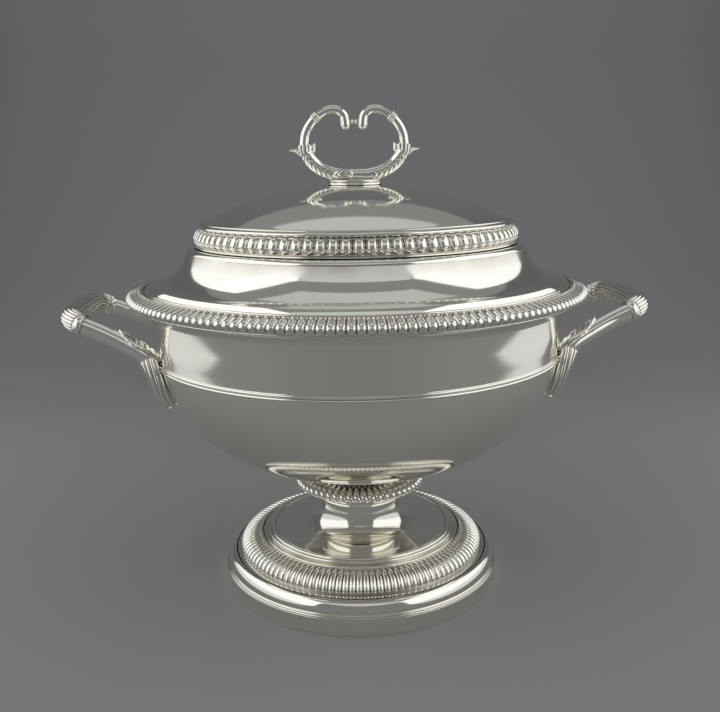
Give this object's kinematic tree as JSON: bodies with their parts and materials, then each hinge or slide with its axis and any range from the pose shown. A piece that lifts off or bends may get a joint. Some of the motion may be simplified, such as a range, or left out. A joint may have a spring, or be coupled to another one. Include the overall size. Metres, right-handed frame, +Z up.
{
  "type": "soup tureen",
  "caption": "Round silver soup tureen on a pedestal foot, with a gadrooned rim, two fluted loop handles, and a domed lift-off lid with a heart-shaped finial.",
  "frame": {"origin": "centre of the foot's underside, on the surface that the tureen stands on", "axes": "+Z up along the axis of the bowl and lid; the two handles lie on the X axis; the front is -Y"},
  "size_m": [0.3784, 0.3, 0.3208],
  "materials": {
    "polished_silver": "polished, with fine polishing marks and darker recesses",
    "cast_silver": "cast and chased, bright on the high points and tarnished in the recesses",
    "plain_silver": "scraped and satin, as left by the maker inside the lid and foot"
  },
  "bodies": {
    "tureen": {"foot_band": "polished_silver", "foot_bead_wire": "polished_silver", "foot_moulding": "polished_silver", "foot_lobed_border": "cast_silver", "foot_reeded_step": "polished_silver", "foot_pedestal": "polished_silver", "neck_ring": "polished_silver", "gadrooned_knop": "cast_silver", "bowl_socket": "plain_silver", "bowl": "polished_silver", "girdle_moulding": "polished_silver", "rim_wire": "polished_silver", "gadroon_border": "cast_silver", "lid_seat": "plain_silver", "left_grip": "cast_silver", "left_front_collar": "polished_silver", "left_back_collar": "polished_silver", "left_front_arm": "polished_silver", "left_back_arm": "polished_silver", "left_front_leaf_mount": "cast_silver", "left_back_leaf_mount": "cast_silver", "left_front_arm_leaf": "cast_silver", "left_back_arm_leaf": "cast_silver", "right_grip": "cast_silver", "right_front_collar": "polished_silver", "right_back_collar": "polished_silver", "right_front_arm": "polished_silver", "right_back_arm": "polished_silver", "right_front_leaf_mount": "cast_silver", "right_back_leaf_mount": "cast_silver", "right_front_arm_leaf": "cast_silver", "right_back_arm_leaf": "cast_silver"},
    "lid": {"lid_shell": "polished_silver", "lid_edge_reeding": "polished_silver", "lid_bezel": "plain_silver", "lid_lobed_border": "cast_silver", "lid_reeded_moulding": "polished_silver", "finial_plate": "polished_silver", "finial_left_branch": "cast_silver", "finial_right_branch": "cast_silver", "finial_left_sheath": "cast_silver", "finial_right_sheath": "cast_silver", "finial_left_tube": "polished_silver", "finial_right_tube": "polished_silver", "finial_left_collar": "polished_silver", "finial_right_collar": "polished_silver", "finial_left_scroll": "polished_silver", "finial_right_scroll": "polished_silver", "finial_bar": "polished_silver", "finial_stud": "plain_silver", "finial_washer": "plain_silver", "finial_nut": "plain_silver"}
  },
  "joints": [
    {"name": "lid_lift", "type": "slide", "parent": "tureen", "child": "lid", "axis": [0, 0, 1], "range_m": [0, 0.2]}
  ]
}
